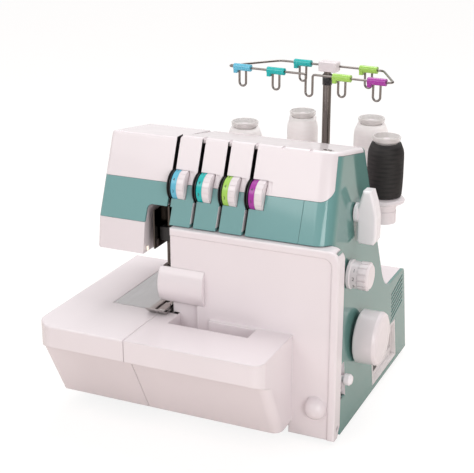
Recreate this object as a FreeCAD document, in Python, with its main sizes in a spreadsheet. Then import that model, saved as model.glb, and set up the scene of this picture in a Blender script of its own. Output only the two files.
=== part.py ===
import FreeCAD, Part
import math
import os
import re
import Sketcher

Vector = FreeCAD.Vector

# Overlock sewing machine. X runs to the handwheel side, Y to the back, Z up.
# The origin is on the table, under the middle of the machine. Millimetres.

SIZES = {
    # casing outline, seen from the handwheel side
    "feet_tall": 6,
    "wall": 2.5,
    "seam": 0.3,
    "panel_foot_x": 138.4,
    "panel_lean": 0.065,
    "column_front": -73,
    "column_left": -40,
    "brow_y": -84,
    "brow_z": 208,
    "head_front": -50.4,
    "head_top": 293,
    "head_back": 26,
    "head_tail": 280,
    "side_top": 289,
    "side_tail": 275,
    "shoulder_y": 84,
    "shoulder_z": 105,
    "shoulder_round": 32,
    "rear_y": 161,
    "rear_round": 6,
    "corner_round": 18,
    "edge_round": 4,
    # head and its coloured band
    "head_left": -128.5,
    "face_top": 290.5,
    "chin_y": -89,
    "chin_z": 174.5,
    "chin_back": 60.3,
    "band_low": 207,
    "band_high": 247.5,
    "band_round": 11,
    "band_seam_x": 92,
    "recess_left": -74.5,
    "recess_top": 225,
    "recess_back": -34.5,
    "recess_round": 6,
    "recess_lining": 1.2,
    # thread tension units
    "slot_first": -50.5,
    "slot_pitch": 28.33,
    "slot_wide": 4,
    "groove_floor": 291,
    "dial_y": -61,
    "dial_z": 243.9,
    "dial_r": 16.5,
    "dial_start": 2,
    "ring_wide": 6.8,
    "dial_wide": 15,
    "thumb_wide": 5.5,
    "post_r": 3,
    "running_fit": 0.06,
    # bed, table and looper cover
    "bed_top": 114,
    "table_left": -160.5,
    "table_back": 49,
    "table_seam_x": -55.5,
    "shelf_right": 90.5,
    "shelf_front": -169,
    "lip_low": 91,
    "lip_under": 85,
    "lip_set_in": 14,
    "lip_side_in": 2,
    "shelf_low": 19,
    "shelf_toe": -120,
    "table_toe_x": -159,
    "lip_round": 12,
    "toe_round": 9,
    "table_corner": 15,
    "table_round": 18,
    "table_toe_round": 4,
    "tray_wall": 3,
    "cover_left": -43.5,
    "cover_right": 137,
    "cover_top": 207,
    "cover_front": -91,
    "cover_back": -73.5,
    "cover_dish": 2.5,
    "cover_rim": 8,
    "cover_round": 12,
    "hinge_y": -80,
    "hinge_z": 16,
    "hinge_r": 3,
    "bump_x": 115.5,
    "bump_z": 39,
    "bump_r": 12.5,
    "guard_left": -55.5,
    "guard_right": -5.5,
    "guard_z": 146,
    "guard_r": 29.3,
    "guard_proud": 7,
    "chute_right": -14.5,
    "chute_top": 130,
    "trough_front": -113,
    "trough_right": 52.5,
    "trough_floor": 90,
    "trough_ledge": 4,
    "arm_left": -112,
    "arm_right": -37,
    "arm_front": -88,
    "arm_back": 20,
    "arm_low": 64,
    # sewing tools
    "needle_x": -55.5,
    "needle_y": -66,
    "needle_bar_r": 3,
    "needle_bar_low": 150,
    "needle_bar_high": 222,
    "needle_tip": 125.5,
    "presser_y": -48,
    "presser_bar_r": 4,
    "sole_low": 114.8,
    "plate_thick": 3,
    "plate_left": -78,
    "plate_right": -42,
    "plate_back": -40,
    "lower_looper_x": -20,
    "lower_looper_z": 62,
    "upper_looper_x": 0,
    "upper_looper_z": 70,
    "looper_shaft_r": 4,
    "knife_front": -72.4,
    "knife_back": -62.4,
    # cast frame
    "frame_right": 114,
    "frame_wall": 6,
    "beam_low": 186,
    "beam_high": 258,
    "beam_back": -28,
    "column_high": 160,
    # drive
    "shaft_y": -11,
    "shaft_z": 90,
    "shaft_r": 6,
    "bush_r": 8.5,
    "wheel_r": 28,
    "wheel_in": 135.4,
    "wheel_out": 160.5,
    "pulley_x": 92,
    "pulley_wide": 14,
    "big_pulley_r": 30,
    "small_pulley_r": 10,
    "belt_thick": 1.6,
    "motor_y": 112,
    "motor_z": 56,
    "motor_r": 27,
    # controls on the handwheel side
    "stitch_y": -34,
    "stitch_z": 165.6,
    "stitch_r": 14,
    "stitch_in": 129.4,
    "stitch_out": 151.5,
    "feed_y": -32,
    "feed_z": 60,
    "feed_arm": 29,
    "feed_in": 126,
    "feed_out": 145,
    "feed_knob_r": 6,
    "lifter_y": -8,
    "lifter_z": 222,
    "lifter_low": 191.5,
    "lifter_high": 247,
    "lifter_in": 128.8,
    "lifter_out": 149,
    "inlet_front": 34,
    "inlet_back": 120,
    "inlet_low": 12,
    "inlet_high": 56,
    # thread stand
    "mast_x": 48,
    "mast_y": 112,
    "mast_r": 4.6,
    "mast_rod_r": 3.8,
    "mast_top": 334,
    "stand_low": 188,
    "stand_high": 201,
    "front_cones_y": 74,
    "back_cones_y": 147,
    "front_cones_half": 81,
    "back_cones_half": 41,
    "cone_seat": 217,
    "cone_top": 282,
    "thread_high": 277,
    "cone_r": 15,
    "thread_r": 19.2,
    "lean_thread_r": 17.6,
    "guide_z": 342,
    "guide_wire_r": 1.2,
    "guide_front": 50,
    "guide_yaw": -5,
    "sleeve_long": 20,
    "sleeve_r": 3.8,
    "sleeve_slack": 0.05,
    "eye_wide": 8,
    "eye_deep": 20,
}

doc = FreeCAD.newDocument("overlock_machine")
sheet = doc.addObject("Spreadsheet::Sheet", "Sizes")
for row, (alias, number) in enumerate(SIZES.items(), start=1):
    sheet.set(f"A{row}", alias)
    sheet.set(f"B{row}", str(number))
    sheet.setAlias(f"B{row}", alias)
doc.recompute()

nodes = []


def named(text):
    """A size written in plain words, with each word pointed at its cell."""
    return re.sub(r"\b([a-z][a-z_]*)\b", r"Sizes.\1", str(text))


def size(text):
    return float(sheet.evalExpression(named(text)))


def bind(thing, **sizes):
    for name, text in sizes.items():
        thing.setExpression(name.replace("__", "."), named(text))


def place(thing, x, y, z):
    bind(thing, Placement__Base__x=x, Placement__Base__y=y, Placement__Base__z=z)


def keep(node, thing):
    thing.Label = node
    nodes.append(thing)
    return thing


def block(x, y, z):
    """A box between two sizes on each axis."""
    solid = doc.addObject("Part::Box", "Block")
    bind(solid, Length=f"({x[1]}) - ({x[0]})", Width=f"({y[1]}) - ({y[0]})", Height=f"({z[1]}) - ({z[0]})")
    place(solid, x[0], y[0], z[0])
    return solid


TURN_TO = {
    "x": FreeCAD.Rotation(Vector(0, 1, 0), 90),
    "y": FreeCAD.Rotation(Vector(1, 0, 0), -90),
    "z": FreeCAD.Rotation(),
}


def stand_on_axis(thing, axis, centre, start):
    """Turn a piece made round Z to another axis, and put its start at the given place."""
    thing.Placement.Rotation = TURN_TO[axis]
    spots = {"x": (start, *centre), "y": (centre[0], start, centre[1]), "z": (*centre, start)}
    place(thing, *spots[axis])


def drum(axis, centre, span, radius):
    """A cylinder along an axis; centre is the other two coordinates in X, Y, Z order."""
    solid = doc.addObject("Part::Cylinder", "Drum")
    bind(solid, Radius=radius, Height=f"({span[1]}) - ({span[0]})")
    stand_on_axis(solid, axis, centre, span[0])
    return solid


def ball(x, y, z, radius):
    solid = doc.addObject("Part::Sphere", "Ball")
    bind(solid, Radius=radius)
    place(solid, x, y, z)
    return solid


def fused(*pieces):
    joined = doc.addObject("Part::MultiFuse", "Joined")
    joined.Shapes = list(pieces)
    joined.Refine = True
    return joined


def carved(base, *tools):
    result = doc.addObject("Part::Cut", "Carved")
    result.Base = base
    result.Tool = tools[0] if len(tools) == 1 else fused(*tools)
    return result


def shared(base, region):
    result = doc.addObject("Part::Common", "Shared")
    result.Base = base
    result.Tool = region
    return result


def group(*pieces):
    result = doc.addObject("Part::Compound", "Group")
    result.Links = list(pieces)
    return result


def plane_of(body, role):
    return next(plane for plane in body.Origin.OriginFeatures if plane.Role == role)


def outline(body, role, points, offset):
    """A closed outline of straight edges, every corner bound to its two sizes."""
    drawing = body.newObject("Sketcher::SketchObject", "Outline")
    drawing.AttachmentSupport = [(plane_of(body, role), "")]
    drawing.MapMode = "FlatFace"
    bind(drawing, AttachmentOffset__Base__z=offset)
    corners = [Vector(size(across), size(up), 0) for across, up in points]
    count = len(corners)
    for index, corner in enumerate(corners):
        drawing.addGeometry(Part.LineSegment(corner, corners[(index + 1) % count]), False)
    for index in range(count):
        drawing.addConstraint(Sketcher.Constraint("Coincident", index, 2, (index + 1) % count, 1))
    for index, (across, up) in enumerate(points):
        corner = corners[index]
        for kind, text, value in (("DistanceX", across, corner.x), ("DistanceY", up, corner.y)):
            number = drawing.addConstraint(Sketcher.Constraint(kind, -1, 1, index, 1, value))
            drawing.setExpression(f"Constraints[{number}]", named(text))
    return drawing


# Start of the extrusion on each plane's own normal: XZ looks to the front, the others along their axis.
PAD_START = {"XY_Plane": "({0})", "XZ_Plane": "-({1})", "YZ_Plane": "({0})"}
POCKET_START = {"XY_Plane": "({1})", "XZ_Plane": "-({0})", "YZ_Plane": "({1})"}


def add_pad(body, role, points, span):
    feature = body.newObject("PartDesign::Pad", "Pad")
    feature.Profile = outline(body, role, points, PAD_START[role].format(*span))
    bind(feature, Length=f"({span[1]}) - ({span[0]})")
    doc.recompute()
    return body


def cut_pocket(body, role, points, span):
    before = body.Shape.Volume
    feature = body.newObject("PartDesign::Pocket", "Pocket")
    feature.Profile = outline(body, role, points, POCKET_START[role].format(*span))
    bind(feature, Length=f"({span[1]}) - ({span[0]})")
    doc.recompute()
    if body.Shape.Volume >= before:
        raise ValueError(f"a pocket of {body.Label} cuts nothing")
    return body


def padded(role, points, span):
    return add_pad(doc.addObject("PartDesign::Body", "Body"), role, points, span)


def within(box, x, y, z):
    pairs = ((x, box.XMin, box.XMax), (y, box.YMin, box.YMax), (z, box.ZMin, box.ZMax))
    slack = 0.2
    return all(
        limits is None or (size(limits[0]) - slack <= low and high <= size(limits[1]) + slack)
        for limits, low, high in pairs
    )


def round_edges(body, radius, x=None, y=None, z=None, longer_than=0):
    """Round every edge that lies wholly inside the given limits and isn't short."""
    doc.recompute()
    base = body.Tip
    names = [
        f"Edge{number}" for number, edge in enumerate(base.Shape.Edges, 1)
        if edge.Length > longer_than and within(edge.BoundBox, x, y, z)
    ]
    feature = body.newObject("PartDesign::Fillet", "Fillet")
    feature.Base = (base, names)
    bind(feature, Radius=radius)
    doc.recompute()
    if not names or "Invalid" in feature.State:
        raise ValueError(f"rounding {len(names)} edges by {radius} fails: {x} {y} {z}")
    return body


def turned(axis, centre, points):
    """A piece turned on a lathe: its half outline is (radius, place along the axis)."""
    body = doc.addObject("PartDesign::Body", "Turned")
    feature = body.newObject("PartDesign::Revolution", "Revolution")
    drawing = outline(body, "XZ_Plane", points, "0")
    feature.Profile = drawing
    feature.ReferenceAxis = (drawing, ["V_Axis"])
    feature.Angle = 360
    stand_on_axis(body, axis, centre, "0")
    doc.recompute()
    return body


def straight_edge(start, end):
    return Part.LineSegment(start, end).toShape()


def rounded_path(points, radii):
    """Straight runs joined by tangent arcs, one radius for each inner point."""
    edges = []
    start = points[0]
    for before, corner, after, radius in zip(points, points[1:], points[2:], radii):
        back = (before - corner).normalize()
        ahead = (after - corner).normalize()
        half = back.getAngle(ahead) / 2
        reach = radius / math.tan(half)
        middle = (back + ahead).normalize() * (radius / math.sin(half) - radius)
        arc = Part.Arc(corner + back * reach, corner + middle, corner + ahead * reach)
        edges += [straight_edge(start, corner + back * reach), arc.toShape()]
        start = corner + ahead * reach
    edges.append(straight_edge(start, points[-1]))
    return Part.Wire(edges)


def bent_rod(points, radii, radius):
    """Round wire of one radius bent along a path."""
    path = rounded_path(points, radii)
    heading = points[1] - points[0]
    section = Part.Wire(Part.makeCircle(radius, points[0], heading))
    shape = path.makePipeShell([section], True, False)
    piece = doc.addObject("Part::Feature", "BentRod")
    piece.Shape = shape
    return piece


SLOTS = [f"slot_first + {index} * slot_pitch" for index in range(4)]
DIAL_COLOURS = ["blue", "teal", "lime", "magenta"]


# Casing of the column and of the right part of the head, as an outer and an inner form.
def casing_form(inset):
    body = doc.addObject("PartDesign::Body", "CasingForm")
    foot = f"feet_tall - 2 * ({inset})"
    front = f"column_front - ({inset})"
    add_pad(body, "YZ_Plane", [
        (front, foot),
        (front, f"brow_z + ({inset})"),
        (f"brow_y + 1.4 * ({inset})", f"brow_z + ({inset})"),
        (f"head_front + 0.9 * ({inset})", f"head_top - 1.2 * ({inset})"),
        (f"head_back - 0.8 * ({inset})", f"head_tail - 1.2 * ({inset})"),
        (f"shoulder_y - 1.4 * ({inset})", f"shoulder_z - ({inset})"),
        (f"rear_y - ({inset})", f"shoulder_z - ({inset})"),
        (f"rear_y - ({inset})", foot),
    ], (f"slot_first + slot_wide / 2 - ({inset})", "panel_foot_x"))
    cut_pocket(body, "XZ_Plane", [
        (f"panel_foot_x - ({inset})", "-10"),
        ("panel_foot_x + 20", "-10"),
        ("panel_foot_x + 20", "head_top + 10"),
        (f"panel_foot_x - ({inset}) - panel_lean * (head_top + 10)", "head_top + 10"),
    ], ("-200", "200"))
    cut_pocket(body, "XZ_Plane", [
        ("-100", "-10"),
        (f"column_left + ({inset})", "-10"),
        (f"column_left + ({inset})", f"chin_z + ({inset})"),
        ("-100", f"chin_z + ({inset})"),
    ], ("-200", "200"))
    return body


def round_casing(body, inset):
    around = ("-300", "300")
    spread = 3
    spots = (
        (f"shoulder_round + ({inset})", f"shoulder_y - 1.4 * ({inset})", f"shoulder_z - ({inset})"),
        (f"rear_round - ({inset})", f"rear_y - ({inset})", f"shoulder_z - ({inset})"),
    )
    for radius, y, z in spots:
        round_edges(body, radius, around, (f"{y} - {spread}", f"{y} + {spread}"), (f"{z} - 1", f"{z} + 1"))
    round_edges(body, f"corner_round - ({inset})", ("panel_foot_x - 40", "panel_foot_x"),
                ("brow_y - 2", f"head_front + 1.2 * ({inset})"), (f"brow_z + ({inset}) - 1", "head_top"), 40)
    return body


outer_casing = round_casing(casing_form("0"), "0")
round_edges(outer_casing, "edge_round", None, ("head_front - 12", "head_back"), ("head_tail", "head_top"))
casing_shell = carved(outer_casing, round_casing(casing_form("wall"), "wall"))

# Regions of the casing shell that each moulding takes.
far = "300"
slab_foot = "panel_foot_x - wall - seam"
above_head = "head_top + 20"
slab_top = f"{slab_foot} - panel_lean * ({above_head})"
side_slab = padded("XZ_Plane", [
    (slab_foot, "-20"), (far, "-20"), (far, above_head), (slab_top, above_head),
], ("-" + far, far))


def side_line(y):
    """Height of the side panel's upper edge at a depth."""
    return f"side_top + (({y}) - head_front) * (side_tail - side_top) / (head_back - head_front)"


def lid_form(grown):
    """Room of the white lid of the head above the side panel."""
    front = "head_front - 60"
    back = "head_back - 2"
    return padded("YZ_Plane", [
        (front, f"{side_line(front)} - ({grown})"), (back, f"{side_line(back)} - ({grown})"),
        (back, above_head), (front, above_head),
    ], ("band_seam_x + 10", far))


def upper_form(grown):
    """Room of the white upper front, with its rounded lower right corner."""
    low = f"band_high - ({grown})"
    right = f"{slab_foot} - panel_lean * band_high"
    body = padded("XZ_Plane", [
        ("-" + far, low), (right, low), (slab_top, above_head), ("-" + far, above_head),
    ], ("-" + far, "head_back - 2"))
    return round_edges(body, f"band_round + ({grown})", (right, right), None, (low, low))


lid = lid_form("0")
upper_region = fused(upper_form("0"), lid)
side_corner = carved(
    block(("band_seam_x + seam", far), ("-" + far, "recess_back"), ("0", "band_high + band_round")),
    upper_form("seam"),
)
side_region = fused(carved(side_slab, lid_form("seam")), side_corner)
band_region = block(("-" + far, "band_seam_x"), ("-" + far, "recess_back"),
                    ("band_low - 2", "band_high - seam"))
rear_region = fused(
    block(("-" + far, far), ("head_back - 2 + seam", far), ("-20", far)),
    block(("-" + far, "0"), ("-" + far, far), ("-20", "chin_z + wall + 1")),
)


def front_face(z):
    """How far forward the sloping front of the head is at a height."""
    return f"brow_y + (({z}) - brow_z) * (head_front - brow_y) / (head_top - brow_z)"


def tension_openings():
    """The thread slots, the windows of the four tension dials and the thumb dip beside each dial."""
    dip_top = "dial_z + dial_r - 0.4"
    dip_end = "band_high + 1"
    dip = [
        (f"{front_face(dip_top)} - 3", dip_top), (f"{front_face(dip_top)} + 1.8", dip_top),
        (front_face(dip_end), dip_end), (f"{front_face(dip_end)} - 3", dip_end),
    ]
    cuts = []
    for slot in SLOTS:
        across = (f"{slot} - slot_wide / 2", f"{slot} + slot_wide / 2")
        dial_end = f"{slot} + dial_start + dial_wide"
        cuts.append(block(across, ("brow_y - 30", "head_front + 1"), ("brow_z - 10", "head_top + 1")))
        cuts.append(drum("x", ("dial_y", "dial_z"), (across[1], f"{dial_end} + 0.6"), "dial_r + 0.45"))
        cuts.append(padded("YZ_Plane", dip, (dial_end, f"{dial_end} + thumb_wide")))
    return fused(*cuts)


def top_grooves():
    """Shallow grooves over the front edge, one above each slot and two further on."""
    middles = [f"slot_first + {index} * slot_pitch" for index in range(1, 6)]
    return fused(*[
        block((f"{x} - 1.5", f"{x} + 1.5"), ("brow_y", "head_back"), ("groove_floor", above_head))
        for x in middles
    ])


front_openings = tension_openings()
band_start = block(("-100", "slot_first + slot_wide"), ("-200", "0"), ("0", "recess_top"))
upper_shell = carved(shared(casing_shell, upper_region), carved(side_slab, lid))
keep("upper_casing", carved(upper_shell, front_openings, top_grooves()))
keep("front_band", carved(shared(casing_shell, band_region), side_slab, front_openings, band_start))


# The handwheel-side cover, with holes for the shaft and the controls, and its cooling slits.
def vent_slits():
    count = 7
    pitch = 5
    slit = 2.2
    slope = 0.21
    long = 45
    slits = []
    for index in range(count):
        front = f"rear_y - 55 + {index * 0.6}"
        low = f"inlet_high + 2 + {index * pitch}"
        back = f"{front} + {long}"
        high = f"{low} + {slope * long}"
        slits.append(padded("YZ_Plane", [
            (front, low), (back, high), (back, f"{high} + {slit}"), (front, f"{low} + {slit}"),
        ], ("100", "150")))
    return fused(*slits)


keep("side_cover", carved(
    shared(casing_shell, side_region),
    drum("x", ("shaft_y", "shaft_z"), ("100", "160"), "bush_r + 1.5"),
    drum("x", ("stitch_y", "stitch_z"), ("100", "160"), "6"),
    drum("x", ("lifter_y", "lifter_z"), ("100", "160"), "5"),
    block(("100", "160"), ("feed_y - feed_arm - 5", "feed_y - feed_arm + 7"), ("feed_z - 18", "feed_z + 18")),
    block(("100", "160"), ("inlet_front - seam", "inlet_back + seam"),
          ("inlet_low - seam", "inlet_high + seam")),
    vent_slits(),
))

# White back: behind the head, over the motor, and the column's wall beside the bed.
keep("rear_cover", carved(
    shared(casing_shell, rear_region), side_slab, side_corner,
    block(("-100", "-30"), ("-200", "arm_back + 2"), ("-20", "bed_top + 2")),
    block(("-100", "-30"), ("-200", "knife_back + 5"), ("-20", "bed_top + 18")),
    block(("-100", "column_left + 10"), ("-200", "head_back - 2"), ("chin_z - 1", far)),
    drum("z", ("mast_x", "mast_y"), ("shoulder_z - 10", "shoulder_z + 10"), "mast_r"),
))


# Left end of the head: a white upper cap, the coloured band and a white chin round the needle recess.
def face_form(inset):
    body = doc.addObject("PartDesign::Body", "FaceForm")
    add_pad(body, "YZ_Plane", [
        (f"chin_y + 1.1 * ({inset})", f"chin_z + ({inset})"),
        (f"brow_y + 1.05 * ({inset})", "brow_z"),
        (f"{front_face('face_top')} + 0.9 * ({inset})", f"face_top - 1.2 * ({inset})"),
        (f"head_back - 0.8 * ({inset})", f"head_tail - 1.2 * ({inset})"),
        (f"chin_back - 1.05 * ({inset})", f"chin_z + ({inset})"),
    ], (f"head_left + ({inset})", f"slot_first - slot_wide / 2 + ({inset})"))
    return body


def recess_form(grown):
    """Room round the needles, open below and to the right, with one rounded corner."""
    left = f"recess_left - ({grown})"
    top = f"recess_top + ({grown})"
    body = padded("XZ_Plane", [
        (left, "chin_z - 10"), ("0", "chin_z - 10"), ("0", top), (left, top),
    ], ("-200", "recess_back"))
    return round_edges(body, f"recess_round + ({grown})", (left, left), None, (top, top))


outer_face = face_form("0")
round_edges(outer_face, "edge_round", ("head_left", "head_left"))
round_edges(outer_face, "edge_round", ("head_left", "0"), ("head_front - 3", "head_front + 3"),
            ("head_top - 5", "head_top"))
inner_face = face_form("wall")
needle_recess = recess_form("0")
face_shell = carved(carved(outer_face, inner_face), needle_recess)
lining = carved(shared(shared(outer_face, inner_face), recess_form("recess_lining")), needle_recess)


def face_part(low, high):
    return shared(face_shell, block(("-200", "0"), ("-200", "200"), (low, high)))


keep("face_cap", face_part("band_high", "head_top + 5"))
keep("face_band", face_part("band_low + seam", "band_high - seam"))
keep("face_chin", fused(face_part("chin_z - 5", "band_low"), lining))

# Base: the pan that carries everything, with the two ears of the cover hinge, on five rubber feet.
pan_left = "table_left + 21"
pan_right = "column_left + 172"
pan_front = "hinge_y + 5"
pan_rear = "rear_y - wall - 1"
pan = padded("XY_Plane", [
    (pan_left, pan_front), (pan_right, pan_front), (pan_right, pan_rear),
    ("column_left + 4", pan_rear), ("column_left + 4", "arm_back + 1.5"), (pan_left, "arm_back + 1.5"),
], ("feet_tall", "feet_tall + 4"))
HINGE_EARS = ("-32", "70")
ears = [
    block((x, f"{x} + 6"), ("hinge_y - 5", "hinge_y + 6"), ("feet_tall", "hinge_z + 5")) for x in HINGE_EARS
]
hinge_bore = drum("x", ("hinge_y", "hinge_z"), ("-60", "140"), "hinge_r + running_fit")
keep("base_pan", carved(fused(pan, *ears), hinge_bore))
FEET = (("-125", "-60"), ("115", "-60"), ("115", "140"), ("-20", "140"), ("-125", "10"))
keep("rubber_feet", group(*[
    turned("z", spot, [("0", "0"), ("8", "0"), ("9", "1.5"), ("9", "feet_tall"), ("0", "feet_tall")])
    for spot in FEET
]))

# Cast frame: floor, two bearing walls, the beam of the head and the guide block of the two bars.
frame_floor = "feet_tall + 4"
wall_low = f"{frame_floor} + 6"
RIGHT_WALL = ("frame_right - frame_wall", "frame_right")
LEFT_WALL = ("column_left + 4", "column_left + 12")
beam_front = "beam_back - frame_wall"
column_y = ("shaft_y - 47", "shaft_y + 61")
neck_y = (beam_front, "arm_back")
looper_bearing_y = ("-58", "-38")
frame = fused(
    block((LEFT_WALL[0], RIGHT_WALL[1]), ("shaft_y - 55", "shaft_y + 67"), (frame_floor, wall_low)),
    block(LEFT_WALL, column_y, (wall_low, "column_high")),
    block(LEFT_WALL, neck_y, ("column_high", "beam_high")),
    block(RIGHT_WALL, column_y, (wall_low, "column_high")),
    block(RIGHT_WALL, neck_y, ("column_high", "beam_high")),
    block(("arm_left", RIGHT_WALL[1]), (beam_front, "beam_back"), ("beam_low", "beam_high")),
    block(("needle_x - 8", "needle_x + 8"), ("needle_y - 6", beam_front), ("beam_low", "beam_low + 14")),
    block((LEFT_WALL[1], "8"), looper_bearing_y, ("lower_looper_z - 8", "upper_looper_z + 8")),
    block(LEFT_WALL, ("knife_front", looper_bearing_y[0]), ("bed_top - 11", "bed_top - 4")),
)
guide_span = ("beam_low - 6", "beam_low + 24")
looper_bore = "looper_shaft_r + running_fit"
keep("main_frame", carved(
    frame,
    drum("x", ("shaft_y", "shaft_z"), ("-60", "130"), "bush_r"),
    drum("z", ("needle_x", "needle_y"), guide_span, "needle_bar_r + running_fit"),
    drum("z", ("needle_x", "presser_y"), guide_span, "presser_bar_r + running_fit"),
    drum("y", ("lower_looper_x", "lower_looper_z"), ("-60", "-36"), looper_bore),
    drum("y", ("upper_looper_x", "upper_looper_z"), ("-60", "-36"), looper_bore),
))

# Free arm under the needle, open to the right, with a seat for the needle plate.
arm = block(("arm_left", "arm_right"), ("arm_front", "arm_back"), ("arm_low", "bed_top"))
above_bed = "bed_top + 5"
keep("bed_arm", carved(
    arm,
    block(("arm_left + 4", "0"), ("arm_front + 4", "arm_back - 4"), ("arm_low + 4", "bed_top - 7")),
    block(("plate_left", "0"), ("arm_front", "plate_back"), ("bed_top - plate_thick", above_bed)),
    block(("plate_left + 4", "0"), ("arm_front + 4", "plate_back - 4"), ("bed_top - 20", above_bed)),
))
through_plate = ("bed_top - 20", above_bed)
dog_slot_y = ("needle_y - 16", "needle_y + 16")
keep("needle_plate", carved(
    block(("plate_left", "plate_right"), ("arm_front", "plate_back"), ("bed_top - plate_thick", "bed_top")),
    block(("needle_x - 2", "needle_x + 2"), ("needle_y - 3", "needle_y + 3"), through_plate),
    block(("needle_x - 9.5", "needle_x - 3"), dog_slot_y, through_plate),
    block(("needle_x + 3", "needle_x + 9.5"), dog_slot_y, through_plate),
))


# Front trays: the lift-off table on the left and the shelf of the looper cover.
def tray_front(inset):
    return [
        ("-220", "200"),
        (f"shelf_front + ({inset})", "200"),
        (f"shelf_front + ({inset})", f"lip_low + ({inset})"),
        (f"shelf_front + lip_set_in + ({inset})", f"lip_under + ({inset})"),
        (f"shelf_toe + ({inset})", f"shelf_low + ({inset})"),
        (f"shelf_toe + ({inset})", "-20"),
        ("-220", "-20"),
    ]


def table_form(inset):
    body = padded("XZ_Plane", [
        (f"table_left + ({inset})", f"bed_top - ({inset})"),
        (f"table_left + ({inset})", f"lip_low + ({inset})"),
        (f"table_left + lip_side_in + ({inset})", f"lip_under + ({inset})"),
        (f"table_toe_x + ({inset})", f"shelf_low - ({inset})"),
        (f"table_seam_x - seam - ({inset})", f"shelf_low - ({inset})"),
        (f"table_seam_x - seam - ({inset})", f"bed_top - ({inset})"),
    ], ("shelf_front - 5", f"table_back - ({inset})"))
    cut_pocket(body, "YZ_Plane", tray_front(inset), ("-220", "220"))
    round_edges(body, f"table_toe_round - ({inset})", ("table_left", "table_toe_x + 5"),
                ("shelf_front", "shelf_toe + 5"), ("shelf_low - 5", f"lip_under + ({inset})"))
    left = f"table_left + ({inset})"
    front = f"shelf_front + ({inset})"
    corner = f"table_corner - 0.586 * ({inset})"
    cut_pocket(body, "XY_Plane", [
        (f"{left} - 1", f"{front} - 1"), (f"{left} + {corner} + 1", f"{front} - 1"),
        (f"{left} - 1", f"{front} + {corner} + 1"),
    ], ("-20", "bed_top + 20"))
    lip_z = ("lip_low", "bed_top")
    round_edges(body, f"table_round - ({inset})", (left, left), (f"{front} + 5", f"{front} + 20"), lip_z)
    round_edges(body, f"table_round - ({inset})", (f"{left} + 5", f"{left} + 20"), (front, front), lip_z)
    return body


arm_room = block(("arm_left - 0.6", "100"), ("arm_front - 0.6", "arm_back + 0.6"), ("-20", "bed_top + 20"))
table_outer = table_form("0")
round_edges(table_outer, "2", None, None, ("bed_top", "bed_top"))
keep("cloth_table", carved(table_outer, table_form("tray_wall"), arm_room))


def shelf_form(inset):
    body = padded("XZ_Plane", [
        (f"table_seam_x + seam + ({inset})", f"bed_top - ({inset})"),
        (f"table_seam_x + seam + ({inset})", f"shelf_low + ({inset})"),
        (f"shelf_right - ({inset})", f"shelf_low + ({inset})"),
        (f"shelf_right - ({inset})", f"bed_top - ({inset})"),
    ], ("shelf_front - 5", f"cover_front + cover_dish + ({inset})"))
    cut_pocket(body, "YZ_Plane", tray_front(inset), ("-220", "220"))
    right = (f"shelf_right - ({inset})", "shelf_right")
    round_edges(body, f"lip_round - ({inset})", right, ("shelf_front", f"shelf_front + ({inset})"),
                ("lip_low", "bed_top"))
    round_edges(body, f"toe_round - ({inset})", right, ("shelf_front", "shelf_toe + 5"),
                ("shelf_low", f"lip_under + ({inset})"))
    return body


# Looper cover: a dished plate with a rounded rim and side flanges, one moulding with the shelf,
# the chute behind the knife guard, the thumb bump and the two hinge lugs.
plate = padded("XZ_Plane", [
    ("cover_left", "shelf_low"), ("shelf_right - 3", "shelf_low"), ("shelf_right - 3", "feet_tall"),
    ("cover_right", "feet_tall"), ("cover_right", "cover_top"), ("cover_left", "cover_top"),
], ("cover_front", "cover_back"))
round_edges(plate, "cover_round", ("cover_right", "cover_right"), None, ("cover_top", "cover_top"))
cut_pocket(plate, "XZ_Plane", [
    ("cover_left - 5", "-20"), ("cover_right - cover_rim", "-20"),
    ("cover_right - cover_rim", "cover_top - cover_rim"), ("cover_left - 5", "cover_top - cover_rim"),
], ("cover_front", "cover_front + cover_dish"))
round_edges(plate, "cover_round - 4", ("cover_right - cover_rim", "cover_right - cover_rim"),
            ("cover_front", "cover_front + cover_dish"), ("cover_top - cover_rim", "cover_top - cover_rim"))
round_edges(plate, "cover_dish - 0.4", ("cover_left", "cover_right"), ("cover_front", "cover_front"), None, 5)
dish_floor = "cover_front + cover_dish"
plate_hollow = block(("cover_left + wall", "cover_right - wall"), (f"{dish_floor} + wall", "0"),
                     ("-20", "cover_top - wall"))
flange_trim = padded("YZ_Plane", [
    ("hinge_y", "-20"), ("hinge_y", "feet_tall"), ("cover_back", "hinge_z"), ("0", "hinge_z"), ("0", "-20"),
], ("-60", "200"))
cover_depth = ("cover_front - 1", "cover_back")
trough_under = "trough_floor - wall"
shelf_hole = block(("cover_left - 1", "shelf_right - tray_wall"), cover_depth,
                   ("shelf_low + tray_wall", trough_under))

# Scrap chute under the knife guard; it opens into a trough in the top of the shelf.
trough_left = "arm_right + 1.5"
trough_mid = "guard_right + 5.7"
chute_back = "cover_front + 9.5"
chute = block(("cover_left", "chute_right + wall"), (dish_floor, chute_back),
              (trough_under, "chute_top + wall"))
trough = block((f"{trough_left} - wall", "trough_right + wall"), ("trough_front - wall", dish_floor),
               (trough_under, "bed_top"))
chute_inside_y = (f"{dish_floor} - 1", f"{chute_back} - wall")
scrap_room = fused(
    block(("cover_left - 1", "chute_right"), chute_inside_y, ("bed_top", "chute_top")),
    block((trough_left, "chute_right"), chute_inside_y, ("trough_floor", above_bed)),
    block((trough_left, trough_mid), ("trough_front", dish_floor), ("trough_floor", above_bed)),
    block((trough_mid, "trough_right"), ("trough_front", f"{dish_floor} - trough_ledge"),
          ("trough_floor", above_bed)),
)
plate_notch = fused(
    block(("cover_left - 1", "arm_right + 0.6"), ("arm_front - 0.6", "cover_back"),
          (f"{trough_under} - 1", "bed_top")),
    block(("cover_left - 1", "cover_left + wall + 0.1"), (chute_back, "cover_back"),
          ("bed_top", "chute_top + 4")),
)
shelf = carved(shelf_form("0"), shelf_form("tray_wall"))
lug_y = ("shelf_toe + 22", "hinge_y + 4")
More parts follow.
